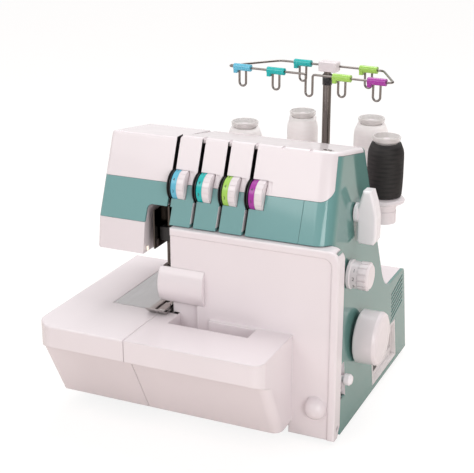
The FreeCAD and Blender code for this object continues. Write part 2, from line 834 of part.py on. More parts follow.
lugs = [block((x, f"{x} + 6"), lug_y, ("hinge_z - 5", "shelf_low + 2")) for x in ("-15", "55")]
bump = carved(
    ball("bump_x", f"{dish_floor} + 2", "bump_z", "bump_r"),
    block(("0", "200"), (f"{dish_floor} + 1", "0"), ("0", "200")),
    block(("0", "bump_x - 7"), ("-200", "0"), ("0", "200")),
)
cover_plate = carved(plate, plate_hollow, flange_trim, shelf_hole)
cover_moulding = fused(cover_plate, shelf, chute, trough, bump, *lugs)
keep("looper_cover", carved(cover_moulding, scrap_room, plate_notch, hinge_bore))
keep("cover_hinge_rod", drum("x", ("hinge_y", "hinge_z"), ("-40", "124"), "hinge_r"))

# Knife guard: a bowed hood in front of the knives, closed at its right end.
guard_room = block(("guard_left - 5", "guard_right + 5"), (dish_floor, "0"), ("0", "300"))
hood = (f"{dish_floor} - guard_proud + guard_r", "guard_z")
keep("knife_guard", carved(
    drum("x", hood, ("guard_left", "guard_right"), "guard_r"),
    drum("x", hood, ("guard_left - 1", "guard_right - wall"), "guard_r - wall"),
    guard_room,
))

# Needle bar with its clamp, and two needles.
clamp_low = "needle_bar_low - 2"
clamp_high = "needle_bar_low + 8"
clamp = block(("needle_x - 6", "needle_x + 6"), ("needle_y - 5", "needle_y + 4"), (clamp_low, clamp_high))
bar = drum("z", ("needle_x", "needle_y"), (clamp_high, "needle_bar_high"), "needle_bar_r")
needles = [
    turned("z", (f"needle_x + {offset}", "needle_y"), [
        ("0", "needle_tip"), ("0.5", "needle_tip + 4"), ("0.5", f"{clamp_low} - 6"),
        ("0.9", f"{clamp_low} - 4"), ("0.9", clamp_low), ("0", clamp_low),
    ]) for offset in ("-1.1", "1.1")
]
keep("needle_bar", group(fused(clamp, bar), *needles))

# Presser bar and foot, with a slot for the needles.
foot_sole = padded("YZ_Plane", [
    ("presser_y + 6", "sole_low"), ("presser_y + 6", "sole_low + 3"), ("presser_y - 46", "sole_low + 3"),
    ("presser_y - 54", "sole_low + 7"), ("presser_y - 54", "sole_low + 5"), ("presser_y - 48", "sole_low"),
], ("needle_x - 11", "needle_x + 10"))
shank_top = "sole_low + 19"
shank_y = ("presser_y - 5", "presser_y + 5")
shank = block(("needle_x - 4", "needle_x + 4"), shank_y, ("sole_low + 3", shank_top))
needle_slot = block(("needle_x - 2.5", "needle_x + 2.5"), ("needle_y - 5", "needle_y + 5"), ("100", "150"))
keep("presser_foot", carved(fused(foot_sole, shank), needle_slot))
keep("presser_bar", drum("z", ("needle_x", "presser_y"), (shank_top, "recess_top - 9"), "presser_bar_r"))

# Polished shield in the needle recess: a wing beside the bars and a wing behind the needle bar.
shield_left = "recess_left + 8"
shield_top = "recess_top - 5"
shield_thick = "1.5"
keep("thread_shield", fused(
    block((shield_left, f"{shield_left} + {shield_thick}"), ("chin_y + 8", "recess_back - 6"),
          ("chin_z + 4", shield_top)),
    block((shield_left, "needle_x + 8"), ("needle_y + 6", f"needle_y + 6 + {shield_thick}"),
          ("beam_low + 16", shield_top)),
))


# Loopers on their rocking shafts: each has a stem up from its shaft and a blade towards the needles.
def looper(x, z, front, blade_tip, blade_high):
    shaft = drum("y", (x, z), (front, "plate_back"), "looper_shaft_r")
    stem = block((f"{x} - 3", f"{x} + 3"), (front, f"{front} + 3"), (f"{z} - 4", blade_high))
    blade = block((blade_tip, f"{x} + 3"), (front, f"{front} + 1.8"), (f"{blade_high} - 3.5", blade_high))
    return fused(shaft, stem, blade)


keep("lower_looper", looper("lower_looper_x", "lower_looper_z", "needle_y - 7",
                            "needle_x + 5", "bed_top - 16"))
keep("upper_looper", looper("upper_looper_x", "upper_looper_z", "needle_y - 2.5",
                            "column_left + 14", "bed_top - 8"))

# Upper knife with its slide bar against the frame, the fixed lower knife and the feed dog.
knife_x = ("column_left + 1.6", "column_left + 3.7")
knife_y = ("knife_front", "knife_back")
keep("upper_knife", fused(
    block(knife_x, knife_y, ("bed_top + 3", "bed_top + 17")),
    block(knife_x, ("knife_back", "knife_back + 4"), ("bed_top - 14", "bed_top + 17")),
))
keep("lower_knife", block(("plate_right", "column_left + 1.3"), knife_y, ("bed_top - 13", "bed_top - 0.5")))
rail_end = "needle_y + 12"
rail_y = ("needle_y - 12", rail_end)
rail_z = ("bed_top - 10", "bed_top - 0.4")
dog_low = "bed_top - 15"
keep("feed_dog", fused(
    block(("needle_x - 8.5", "needle_x - 4"), rail_y, rail_z),
    block(("needle_x + 4", "needle_x + 8.5"), rail_y, rail_z),
    block(("needle_x - 8.5", "needle_x + 8.5"), ("needle_y + 8", rail_end), (dog_low, "bed_top - 7")),
    block(("needle_x - 3", "needle_x + 3"), (rail_end, "needle_y + 50"), (dog_low, "bed_top - 9")),
))

# Tension units: bracket and post, a black disc with a thread groove in each slot, and the thumbwheel.
post_spot = ("dial_y", "dial_z")
posts = []
discs = []
for slot in SLOTS:
    reach = (f"{slot} - 3", f"{slot} + 22.5")
    posts.append(fused(
        drum("x", post_spot, reach, "post_r"),
        block((f"{slot} + 19.5", f"{slot} + 22.5"), ("dial_y - 3", beam_front), ("dial_z - 6", "dial_z + 4")),
    ))
    left = f"{slot} - slot_wide / 2 + 0.1"
    right = f"{slot} + dial_start - 0.3"
    discs.append(turned("x", post_spot, [
        ("post_r", left), ("dial_r", left), ("dial_r", f"{left} + 1"), ("dial_r - 4", slot),
        ("dial_r", f"{right} - 1"), ("dial_r", right), ("post_r", right),
    ]))
keep("tension_posts", group(*posts))
keep("tension_discs", group(*discs))
for slot, colour in zip(SLOTS, DIAL_COLOURS):
    start = f"{slot} + dial_start"
    bore = "post_r + running_fit"
    step = f"{start} + ring_wide"
    end = f"{start} + dial_wide"
    keep(f"tension_dial_{colour}", turned("x", post_spot, [
        (bore, start), ("dial_r - 6", start), ("dial_r - 6", step), ("dial_r", step),
        ("dial_r", f"{end} - 1.5"), ("dial_r - 1.5", end), (bore, end),
    ]))
    keep(f"dial_ring_{colour}", turned("x", post_spot, [
        ("dial_r - 6", start), ("dial_r - 1", start), ("dial_r", f"{start} + 1"), ("dial_r", step),
        ("dial_r - 6", step),
    ]))

# Main shaft in two bushes, with the handwheel and the large belt pulley.
shaft_spot = ("shaft_y", "shaft_z")
keep("main_shaft", drum("x", shaft_spot, ("column_left + 2", "wheel_in + 14"), "shaft_r"))
keep("shaft_bushes", group(*[
    turned("x", shaft_spot, [
        ("shaft_r + running_fit", low), ("bush_r", low), ("bush_r", high), ("shaft_r + running_fit", high),
    ]) for low, high in (LEFT_WALL, RIGHT_WALL)
]))
keep("handwheel", turned("x", shaft_spot, [
    ("shaft_r", "wheel_in"), ("shaft_r + 4", "wheel_in"), ("shaft_r + 4", "wheel_out - 7"),
    ("wheel_r - 4", "wheel_out - 7"), ("wheel_r - 4", "wheel_in"), ("wheel_r - 1", "wheel_in"),
    ("wheel_r", "wheel_in + 1"), ("wheel_r", "wheel_out - 4.5"), ("wheel_r - 1.3", "wheel_out - 2"),
    ("wheel_r - 4", "wheel_out - 0.8"), ("wheel_r - 12", "wheel_out"), ("0", "wheel_out"),
    ("0", "wheel_in + 14"), ("shaft_r", "wheel_in + 14"),
]))


def belt_pulley(spot, radius, bore):
    end = "pulley_x + pulley_wide"
    return turned("x", spot, [
        (bore, "pulley_x"), (f"{radius} + 3", "pulley_x"), (f"{radius} + 3", "pulley_x + 1.5"),
        (radius, "pulley_x + 1.5"), (radius, f"{end} - 1.5"), (f"{radius} + 3", f"{end} - 1.5"),
        (f"{radius} + 3", end), (bore, end),
    ])


keep("drive_pulley", belt_pulley(shaft_spot, "big_pulley_r", "shaft_r"))

# Motor on its cradle, the pulley with the motor's shaft, and the belt between the two pulleys.
motor_spot = ("motor_y", "motor_z")
cradle = block(("20", "74"), ("motor_y - 22", "motor_y + 22"), (frame_floor, "motor_z - 12"))
rotor_bore = drum("x", motor_spot, ("60", "100"), "4 + running_fit")
motor_can = drum("x", motor_spot, ("8", "pulley_x - 6"), "motor_r")
keep("motor", carved(fused(motor_can, cradle), rotor_bore))
rotor = drum("x", motor_spot, ("62", "pulley_x + pulley_wide"), "4")
keep("motor_pulley", fused(belt_pulley(motor_spot, "small_pulley_r", "4"), rotor))


def belt_loop(lift):
    """The belt's line round both pulleys: two arcs and the two straight runs that touch them."""
    near = Vector(0, size("shaft_y"), size("shaft_z"))
    away = Vector(0, size("motor_y"), size("motor_z"))
    ahead = (away - near).normalize()
    aside = Vector(1, 0, 0).cross(ahead)
    near_r = size("big_pulley_r") + lift
    away_r = size("small_pulley_r") + lift
    lean = (near_r - away_r) / near.distanceToPoint(away)
    rise = math.sqrt(1 - lean * lean)
    up = ahead * lean + aside * rise
    down = ahead * lean - aside * rise
    edges = [
        straight_edge(near + up * near_r, away + up * away_r),
        Part.Arc(away + up * away_r, away + ahead * away_r, away + down * away_r).toShape(),
        straight_edge(away + down * away_r, near + down * near_r),
        Part.Arc(near + down * near_r, near - ahead * near_r, near + up * near_r).toShape(),
    ]
    return Part.Wire(edges)


belt_lift = 0.3
belt_face = Part.Face(belt_loop(belt_lift + size("belt_thick"))).cut(Part.Face(belt_loop(belt_lift)))
belt = doc.addObject("Part::Feature", "Belt")
belt.Shape = belt_face.extrude(Vector(size("pulley_wide - 4"), 0, 0))
place(belt, "pulley_x + 2", "0", "0")
keep("drive_belt", belt)

# Controls on the handwheel side: stitch length dial, feed lever, foot lifter and the mains inlet.
keep("stitch_dial", turned("x", ("stitch_y", "stitch_z"), [
    ("0", "stitch_in - 12"), ("5", "stitch_in - 12"), ("5", "stitch_in"), ("stitch_r + 1", "stitch_in"),
    ("stitch_r + 1", "stitch_in + 3"), ("stitch_r", "stitch_in + 4"), ("stitch_r - 0.6", "stitch_out - 1.5"),
    ("stitch_r - 2", "stitch_out"), ("0", "stitch_out"),
]))
feed_spot = ("feed_y", "feed_z")
feed_plate = shared(
    drum("x", feed_spot, ("feed_in", "feed_in + 3"), "feed_arm + 7"),
    block(("100", "160"), ("feed_y - 60", "feed_y + 5"), ("feed_z - 30", "feed_z + 30")),
)
knob_start = "feed_out - 9"
feed_knob = turned("x", ("feed_y - feed_arm", "feed_z + 3"), [
    ("0", "feed_in + 2"), ("3.5", "feed_in + 2"), ("3.5", knob_start), ("feed_knob_r - 1", knob_start),
    ("feed_knob_r", f"{knob_start} + 1"), ("feed_knob_r", "feed_out - 3"),
    ("feed_knob_r - 2", "feed_out - 0.6"), ("0", "feed_out"),
])
feed_hub = drum("x", feed_spot, ("feed_in - 6", "feed_in"), "5")
keep("feed_lever", fused(feed_plate, feed_knob, feed_hub))
lifter_spot = ("lifter_y", "lifter_z")
lifter_boss = drum("x", lifter_spot, ("lifter_in - 3.8", "lifter_in + 0.7"), "10")
lifter_pin = drum("x", lifter_spot, ("frame_right + 0.6", "lifter_in - 3"), "4.6")
paddle = padded("XZ_Plane", [
    ("lifter_in", "lifter_low + 3"), ("lifter_in + 2.2", "lifter_low"),
    ("lifter_out - 3", "lifter_low"), ("lifter_out", "lifter_low + 5"),
    ("lifter_out", "lifter_low + 28"), ("lifter_out - 3", "lifter_high - 12"),
    ("lifter_out - 7", "lifter_high"), ("lifter_in + 4.7", "lifter_high"),
    ("lifter_in + 0.2", "lifter_z + 8"),
], ("lifter_y - 8", "lifter_y + 7"))
round_edges(paddle, "2.5", None, ("lifter_y - 8", "lifter_y - 8"), None)
keep("lifter_lever", fused(paddle, lifter_boss, lifter_pin))
switch_room = (("inlet_front + 12", "inlet_front + 28"), ("inlet_low + 8", "inlet_low + 34"))
socket_room = (("inlet_back - 30", "inlet_back - 6"), ("inlet_low + 12", "inlet_low + 30"))
inlet_face = "panel_foot_x - wall - panel_lean * inlet_high"
inlet_body = fused(
    block((f"{inlet_face} - 4", inlet_face), ("inlet_front", "inlet_back"), ("inlet_low", "inlet_high")),
    block((f"{inlet_face} - 20", inlet_face), ("inlet_back - 33", "inlet_back - 3"),
          ("inlet_low + 9", "inlet_low + 33")),
)
keep("power_inlet", carved(
    inlet_body,
    block((f"{inlet_face} - 15", "200"), *socket_room),
    block((f"{inlet_face} - 30", "200"), *switch_room),
))
switch_y, switch_z = switch_room
switch_mid = f"(({switch_z[0]}) + ({switch_z[1]})) / 2"
keep("power_switch", padded("XZ_Plane", [
    (f"{inlet_face} - 6", f"{switch_z[0]} + 1.5"), (f"{inlet_face} + 0.6", f"{switch_z[0]} + 1.5"),
    (f"{inlet_face} - 0.6", switch_mid), (f"{inlet_face} + 2.6", f"{switch_z[1]} - 1.5"),
    (f"{inlet_face} - 6", f"{switch_z[1]} - 1.5"),
], (f"{switch_y[0]} + 0.6", f"{switch_y[1]} - 0.6")))

# Thread stand behind the head: four pins on one moulding, cups, cones and their thread.
CONES = [
    ("mast_x - front_cones_half", "front_cones_y"), ("mast_x - back_cones_half", "back_cones_y"),
    ("mast_x + back_cones_half", "back_cones_y"), ("mast_x + front_cones_half", "front_cones_y"),
]
stand_mid = ("stand_low + 2", "stand_high - 1")
bosses = [drum("z", spot, ("stand_low", "stand_high"), "13.5") for spot in CONES]
pins = [drum("z", spot, ("stand_high", "cone_top - 3"), "3.5") for spot in CONES]
rows = [
    block((f"mast_x - {half}", f"mast_x + {half}"), (f"{y} - 9", f"{y} + 9"), stand_mid)
    for half, y in (("front_cones_half", "front_cones_y"), ("back_cones_half", "back_cones_y"))
]
spine = block(("mast_x - 16", "mast_x + 16"), ("head_back", "back_cones_y + 9"), stand_mid)
stand = fused(*rows, spine, *bosses, *pins)
keep("spool_stand", carved(stand, outer_casing, drum("z", ("mast_x", "mast_y"), ("0", "300"), "mast_r")))
keep("cone_cups", group(*[
    turned("z", spot, [
        ("3.8", "stand_high"), ("13", "stand_high"), ("14", "stand_high + 7"), ("21.5", "stand_high + 10"),
        ("22", "stand_high + 12"), ("20.5", "stand_high + 14"), ("15", "cone_seat"), ("3.8", "cone_seat"),
    ]) for spot in CONES
]))
keep("cone_cores", group(*[
    turned("z", spot, [
        ("cone_r - 4", "cone_seat"), ("cone_r - 3", "cone_seat"), ("cone_r - 3", "thread_high - 2"),
        ("cone_r - 0.5", "thread_high"), ("cone_r", "cone_top - 1"), ("cone_r - 0.8", "cone_top"),
        ("cone_r - 1.8", "cone_top"), ("cone_r - 2", "thread_high"), ("cone_r - 4", "thread_high - 2"),
    ]) for spot in CONES
]))


def wound_thread(spot, radius):
    return turned("z", spot, [
        ("cone_r - 3", "cone_seat"), (f"{radius} - 1.8", "cone_seat"), (f"{radius} - 0.5", "cone_seat + 12"),
        (radius, "cone_seat + 28"), (radius, "thread_high - 14"), (f"{radius} - 1", "thread_high - 8"),
        ("cone_r + 0.3", "thread_high - 2.2"), ("cone_r - 3", "thread_high - 2.2"),
    ])


THREAD_RADII = ("thread_r", "lean_thread_r", "thread_r")
keep("white_threads", group(*[wound_thread(spot, radius) for spot, radius in zip(CONES, THREAD_RADII)]))
keep("black_thread", wound_thread(CONES[3], "thread_r"))

# Telescopic mast, the swivelling hub and the thread guide: one bent wire with seven eyes.
mast_spot = ("mast_x", "mast_y")
keep("mast_tube", carved(
    drum("z", mast_spot, ("shoulder_z - wall", "mast_top"), "mast_r"),
    drum("z", mast_spot, ("shoulder_z + 8", "mast_top + 5"), "mast_rod_r + running_fit"),
))
keep("mast_rod", drum("z", mast_spot, ("mast_top - 130", "guide_z - 1"), "mast_rod_r"))

EYES = {"blue": -77.5, "teal": -37, "centre": 2, "lime": 39.5, "magenta": 78.5}
BACK_EYES = {"teal": -32, "lime": 46}
back_y = 5
tip_left, tip_right = -98, 97
bend_left, bend_right = -60, 63
front_y = -size("guide_front")
half_eye = size("eye_wide") / 2
wire_r = size("guide_wire_r")
tight = 2 * wire_r


def eye_points(x, y, deep, towards):
    """Down one side of an eye and up the other, along the given way of the wire."""
    first = x - towards * half_eye
    last = x + towards * half_eye
    spots = ((first, 0), (first, -deep), (last, -deep), (last, 0))
    turn = half_eye - 0.05
    return [Vector(across, y, drop) for across, drop in spots], [tight, turn, turn, tight]


def corner_points(*corners):
    """Bends of the frame itself, each with its own radius."""
    return [Vector(x, y, 0) for x, y, radius in corners], [radius for x, y, radius in corners]


deep = size("eye_deep")
longest = deep + 3
runs = [
    eye_points(BACK_EYES["teal"], back_y, deep, -1),
    corner_points((bend_left, back_y, 8), (tip_left, front_y, 4)),
    *[eye_points(x, front_y, longest if name == "centre" else deep, 1) for name, x in EYES.items()],
    corner_points((tip_right, front_y, 4), (bend_right, back_y, 8)),
    eye_points(BACK_EYES["lime"], back_y, deep, -1),
]
wire_start = Vector(-6, back_y, 0)
wire_end = Vector(9, back_y, 0)
wire_path = [wire_start, *[point for points, bends in runs for point in points], wire_end]
wire_bends = [bend for points, bends in runs for bend in bends]


def turn_guide(piece):
    """Put a piece of the guide, drawn about the mast's centre, at its height and angle."""
    piece.Placement.Rotation = FreeCAD.Rotation(Vector(0, 0, 1), size("guide_yaw"))
    place(piece, "mast_x", "mast_y", "guide_z")
    return piece


keep("guide_wire", turn_guide(bent_rod(wire_path, wire_bends, wire_r)))


def sleeve(x, y):
    """A coloured sleeve clipped on the wire over an eye, with a small hook at its left end."""
    half = size("sleeve_long") / 2
    radius = size("sleeve_r")
    tube = Part.makeCylinder(radius, 2 * half, Vector(x - half, y, 0), Vector(1, 0, 0))
    hook = Part.makeBox(4, 2 * radius - 2, radius + 2.5, Vector(x - half, y - radius + 1, -radius - 2.5))
    room = wire_r + size("sleeve_slack")
    bore = Part.makeCylinder(room, 2 * half, Vector(x - half, y, 0), Vector(1, 0, 0))
    legs = [Part.makeCylinder(room, 12, Vector(x + side, y, -12)) for side in (-half_eye, half_eye)]
    elbow = Part.makeBox(2 * (half_eye + tight), 2 * room, tight + room,
                         Vector(x - half_eye - tight, y - room, -tight))
    return tube.fuse(hook).cut(bore).cut(elbow).cut(legs[0]).cut(legs[1])


def sleeves(colour):
    spots = [(EYES[colour], front_y)]
    if colour in BACK_EYES:
        spots.append((BACK_EYES[colour], back_y))
    piece = doc.addObject("Part::Feature", "Sleeves")
    piece.Shape = Part.makeCompound([sleeve(x, y) for x, y in spots])
    return turn_guide(piece)


for colour in DIAL_COLOURS:
    keep(f"guide_sleeve_{colour}", sleeves(colour))

hub = doc.addObject("Part::Feature", "Hub")
hub_block = Part.makeBox(21, 13, 11, Vector(-9, -5.5, -5.5))
hub_bore = Part.makeCylinder(size("mast_rod_r + running_fit"), 20, Vector(0, 0, -19))
wire_bore = Part.makeCylinder(wire_r, 40, Vector(-20, back_y, 0), Vector(1, 0, 0))
hub.Shape = hub_block.makeFillet(1.5, hub_block.Edges).cut(hub_bore).cut(wire_bore)
keep("guide_hub", turn_guide(hub))

doc.recompute()
bad = [thing.Label for thing in doc.Objects if "Invalid" in thing.State or "Error" in thing.State]
for thing in nodes:
    if thing.Shape.isNull() or not thing.Shape.isValid() or not thing.Shape.Solids:
        bad.append(thing.Label)
if bad:
    raise ValueError("these pieces failed: " + ", ".join(bad))
os.makedirs("parts", exist_ok=True)
for thing in nodes:
    thing.Shape.exportStep(f"parts/{thing.Label}.step")
print(len(nodes), "pieces written")
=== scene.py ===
import math

import bmesh
import bpy
from mathutils import Matrix, Vector


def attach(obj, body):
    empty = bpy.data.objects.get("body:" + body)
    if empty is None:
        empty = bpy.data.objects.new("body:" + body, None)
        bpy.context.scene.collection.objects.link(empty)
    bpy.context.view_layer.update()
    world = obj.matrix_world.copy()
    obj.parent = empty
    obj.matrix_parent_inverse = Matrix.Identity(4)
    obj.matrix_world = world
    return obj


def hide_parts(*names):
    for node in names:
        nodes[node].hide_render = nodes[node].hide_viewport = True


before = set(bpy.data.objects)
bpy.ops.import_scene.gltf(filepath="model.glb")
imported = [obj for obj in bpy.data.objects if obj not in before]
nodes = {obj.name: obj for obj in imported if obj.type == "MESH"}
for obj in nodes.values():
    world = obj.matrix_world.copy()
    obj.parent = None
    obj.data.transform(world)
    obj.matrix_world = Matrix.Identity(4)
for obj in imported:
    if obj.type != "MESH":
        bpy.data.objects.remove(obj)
scene = bpy.context.scene
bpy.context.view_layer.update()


# Base: the moulded pan that carries the machine, on five black rubber feet.
# The pan is satin plastic. The feet are soft rubber with a chalky bloom, and so is the drive belt.
class Value:
    """A socket in a tree of nodes; sums and products of values add Math nodes."""

    def __init__(self, tree, socket):
        self.tree = tree
        self.socket = socket

    def calculate(self, operation, first, second=0.0):
        return self.tree.node("ShaderNodeMath", {"operation": operation}, {0: first, 1: second})

    def __add__(self, other):
        return self.calculate("ADD", self, other)

    def __sub__(self, other):
        return self.calculate("SUBTRACT", self, other)

    def __rsub__(self, other):
        return self.calculate("SUBTRACT", other, self)

    def __mul__(self, other):
        return self.calculate("MULTIPLY", self, other)

    __radd__ = __add__

    def at_least(self, other):
        return self.calculate("MAXIMUM", self, other)

    def at_most(self, other):
        return self.calculate("MINIMUM", self, other)

    def wave(self):
        """A sine between 0 and 1."""
        return self.calculate("SINE", self) * 0.5 + 0.5


class Tree:
    """A tree of shader nodes: every node is made by one method."""

    def __init__(self, owner):
        self.nodes = owner.node_tree.nodes
        self.links = owner.node_tree.links

    def join(self, socket, value):
        if isinstance(value, Value):
            self.links.new(value.socket, socket)
        else:
            socket.default_value = value

    def node(self, kind, settings, sockets, output=0):
        made = self.nodes.new(kind)
        for name, value in settings.items():
            setattr(made, name, value)
        for name, value in sockets.items():
            self.join(made.inputs[name], value)
        return Value(self, made.outputs[output])

    def along(self, axis, vector):
        return self.node("ShaderNodeSeparateXYZ", {}, {0: vector}, axis)

    def looked_at(self):
        """1 for rays from the camera or through clear plastic, 0 for rays that light the machine."""
        seen = self.node("ShaderNodeLightPath", {}, {}, "Is Camera Ray")
        return seen.at_least(self.node("ShaderNodeLightPath", {}, {}, "Is Transmission Ray"))


MIX_FIRST, MIX_SECOND, MIX_RESULT = 6, 7, 2  # the Mix node's sockets for colours
EDGE_SAMPLES = 12


class Finish(Tree):
    """A material: one Principled surface, and the nodes that vary it over the piece."""

    def __init__(self, name, **constants):
        self.material = bpy.data.materials.new(name)
        self.material.use_nodes = True
        super().__init__(self.material)
        self.surface = self.nodes["Principled BSDF"]
        self.set(**constants)

    def set(self, **sockets):
        for name, value in sockets.items():
            self.join(self.surface.inputs[name.replace("_", " ")], value)

    def noise(self, scale, detail=2.0, stretch=(1, 1, 1)):
        place = self.node("ShaderNodeTexCoord", {}, {}, "Object")
        spread = self.node("ShaderNodeMapping", {}, {"Vector": place, "Scale": stretch})
        return self.node("ShaderNodeTexNoise", {}, {"Vector": spread, "Scale": scale, "Detail": detail})

    def mix(self, share, first, second):
        return self.node("ShaderNodeMix", {"data_type": "RGBA"},
                         {0: share, MIX_FIRST: first, MIX_SECOND: second}, MIX_RESULT)

    def rounded(self, radius):
        """Normals that run round every edge as if the moulding had that radius there."""
        return self.node("ShaderNodeBevel", {"samples": EDGE_SAMPLES}, {"Radius": radius})

    def raised(self, height, strength, distance, edge):
        """Normals of a relief on a surface with rounded edges."""
        return self.node("ShaderNodeBump", {}, {
            "Height": height, "Strength": strength, "Distance": distance, "Normal": self.rounded(edge)})


def colour(red, green, blue):
    """A colour as the eye reads it on a screen, 0 to 255, turned to light."""
    return tuple((part / 255) ** 2.2 for part in (red, green, blue)) + (1.0,)


def darker(shade, share):
    return tuple(part * share for part in shade[:3]) + (1.0,)


def varied(level, pattern, spread):
    """A level that a pattern between 0 and 1 carries up and down by half the spread."""
    return level + (pattern - 0.5) * spread


def uncoloured(name, rough, edge=0.0008, grain=0.02):
    """Moulded plastic still without its colour: uneven gloss, a fine orange peel and rounded edges."""
    finish = Finish(name, Coat_Roughness=0.05)
    finish.set(Roughness=varied(rough, finish.noise(scale=60), spread=0.06))
    finish.set(Coat_Weight=varied(0.35, finish.noise(scale=25), spread=0.2))
    finish.set(Normal=finish.raised(finish.noise(scale=700), grain, distance=0.0002, edge=edge))
    return finish


CLOUD_SCALE = 14


def moulded(name, shade, rough, **surface):
    """Moulded plastic of one colour, faintly cloudy."""
    finish = uncoloured(name, rough, **surface)
    finish.set(Base_Color=finish.mix(finish.noise(CLOUD_SCALE), shade, darker(shade, 0.955)))
    return finish


def dress(finish, *names):
    for name in names:
        nodes[name].data.materials.clear()
        nodes[name].data.materials.append(finish.material)


satin_white = moulded("satin_white", colour(232, 226, 226), rough=0.42)
rubber = Finish("foot_rubber")
bloom = rubber.noise(scale=120, detail=4)
rubber.set(Base_Color=rubber.mix(bloom, colour(24, 24, 25), colour(46, 45, 45)))
rubber.set(Roughness=0.7 + bloom * 0.2)
rubber.set(Normal=rubber.raised(bloom, strength=0.2, distance=0.0003, edge=0.0006))
dress(satin_white, "base_pan")
dress(rubber, "rubber_feet", "drive_belt")


# Frame and drive inside the casing: the cast frame, painted black, which also stands as painted shade in the
# gaps where it shows, a ground steel shaft in bronze bushes, the motor with its painted can, and the belt
# pulleys.
def metal(name, shade, rough, stretch=(1, 1, 1), scratch=0.12):
    """Bare metal with fine marks drawn out along one way."""
    finish = Finish(name, Metallic=1.0)
    marks = finish.noise(scale=220, detail=3, stretch=stretch)
    finish.set(Base_Color=finish.mix(marks, shade, darker(shade, 0.8)))
    finish.set(Roughness=varied(rough, marks, scratch))
    finish.set(Normal=finish.raised(marks, strength=0.06, distance=0.0001, edge=0.0003))
    return finish


steel = metal("ground_steel", colour(190, 190, 192), rough=0.2, stretch=(0.15, 4, 4))
bronze = metal("sintered_bronze", colour(176, 132, 78), rough=0.4)
black = moulded("black_plastic", colour(20, 20, 22), rough=0.45)
black_paint_and_gap_shade = moulded("black_paint_and_gap_shade", colour(28, 28, 30), rough=0.4, grain=0.3)
# The frame's black is partly a guessed paint and partly painted shade for the gaps it shows through.
dress(black_paint_and_gap_shade, "main_frame", "motor")
dress(steel, "main_shaft", "motor_pulley", "tension_posts")
dress(bronze, "shaft_bushes")
dress(black, "drive_pulley")

# Bed: the free arm under the needles and the needle plate on it.
# Both are of plated steel, with fine marks along the way the cloth is fed.
plate_steel = metal("satin_chrome", colour(196, 195, 196), rough=0.2, stretch=(4, 0.2, 4))
dress(plate_steel, "bed_arm", "needle_plate")


# Casing: white upper casing and back, mint handwheel side and front band, held by screws at the back.
# A small sprung clip for the thread stands on the top, near its right front corner, and the cooling
# slits in the handwheel side are lined in black, as painted shade for the dark behind them.
def slab(mesh, low, high):
    """Add a box between two corners, in millimetres; gives its vertices."""
    low = Vector(low)
    high = Vector(high)
    verts = bmesh.ops.create_cube(mesh, size=1)["verts"]
    bmesh.ops.scale(mesh, vec=high - low, verts=verts)
    bmesh.ops.translate(mesh, vec=(low + high) / 2, verts=verts)
    return verts


def soft_slabs(corners, edge):
    """A mesh of boxes, each between two corners, with rounded edges."""
    mesh = bmesh.new()
    for low, high in corners:
        slab(mesh, low, high)
    bmesh.ops.bevel(mesh, geom=mesh.edges[:], offset=edge, offset_type="OFFSET", segments=2,
                    profile=0.5, affect="EDGES", material=-1)
    return mesh


def stud(mesh, centre, radius, length, segments):
    """Add a round screw head that lies along Y."""
    turned = Matrix.Translation(centre) @ Matrix.Rotation(math.radians(90), 4, "X")
    bmesh.ops.create_cone(mesh, cap_ends=True, segments=segments, radius1=radius, radius2=radius,
                          depth=length, matrix=turned)


METRES_PER_MM = 0.001


def piece(name, mesh, finish, body, smooth=False):
    """A finished piece: its mesh, drawn in millimetres in its place, on the body it moves with."""
    bmesh.ops.scale(mesh, vec=(METRES_PER_MM,) * 3, verts=mesh.verts)
    data = bpy.data.meshes.new(name)
    mesh.to_mesh(data)
    mesh.free()
    if smooth:
        data.shade_smooth()
    data.materials.append(finish.material)
    thing = bpy.data.objects.new(name, data)
    scene.collection.objects.link(thing)
    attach(thing, body)
    return thing


WHITE = colour(240, 231, 234)
white = moulded("warm_white_gloss", WHITE, rough=0.21)
MINT = colour(118, 165, 165)
MINT_PAINTED_SIDE_SHADE = colour(103, 144, 138)
MINT_ROUGH = 0.08
mint = moulded("mint_gloss", MINT, MINT_ROUGH)
# The side cover's faces that turn away from the front are painted a greyer, darker mint: painted shade for
# the side that the light reaches less.
mint_side = uncoloured("mint_gloss_painted_side_shade", MINT_ROUGH)
facing = mint_side.node("ShaderNodeNewGeometry", {}, {}, "Normal")
facing_front = mint_side.along("Y", facing).at_most(0) * -1
painted_side_shade = (1 - facing_front) * (0.9 + mint_side.noise(CLOUD_SCALE) * 0.2)
mint_side.set(Base_Color=mint_side.mix(painted_side_shade, MINT, MINT_PAINTED_SIDE_SHADE))
dress(white, "upper_casing", "rear_cover")
dress(mint_side, "side_cover")
dress(mint, "front_band")

chrome = metal("polished_chrome", colour(186, 182, 180), rough=0.09, scratch=0.05)
clip = soft_slabs([
    ((99, -47.5, 290.6), (111, -39, 291.5)),
    ((101, -46, 291.5), (104.4, -40.5, 292.7)),
    ((105.2, -46, 291.5), (109, -40.5, 292.7)),
], edge=0.3)
piece("thread_clip", clip, chrome, "machine")

SCREW_Y = 161.3
CROSS_Y = (161.9, 162.2)
CROSS_LONG, CROSS_WIDE = 2.4, 0.4
screw_heads = bmesh.new()
for x in (-26, 112):
    for z in (18, 88):
        stud(screw_heads, (x, SCREW_Y, z), radius=3.4, length=1.4, segments=24)
        for across, up in ((CROSS_LONG, CROSS_WIDE), (CROSS_WIDE, CROSS_LONG)):
            slab(screw_heads, (x - across, CROSS_Y[0], z - up), (x + across, CROSS_Y[1], z + up))
piece("casing_screws", screw_heads, steel, "machine")


SIDE_FOOT_X = 138.4
SIDE_LEAN = 0.065


def side_x(z):
    """Where the leaning handwheel side stands at a height."""
    return SIDE_FOOT_X - SIDE_LEAN * z


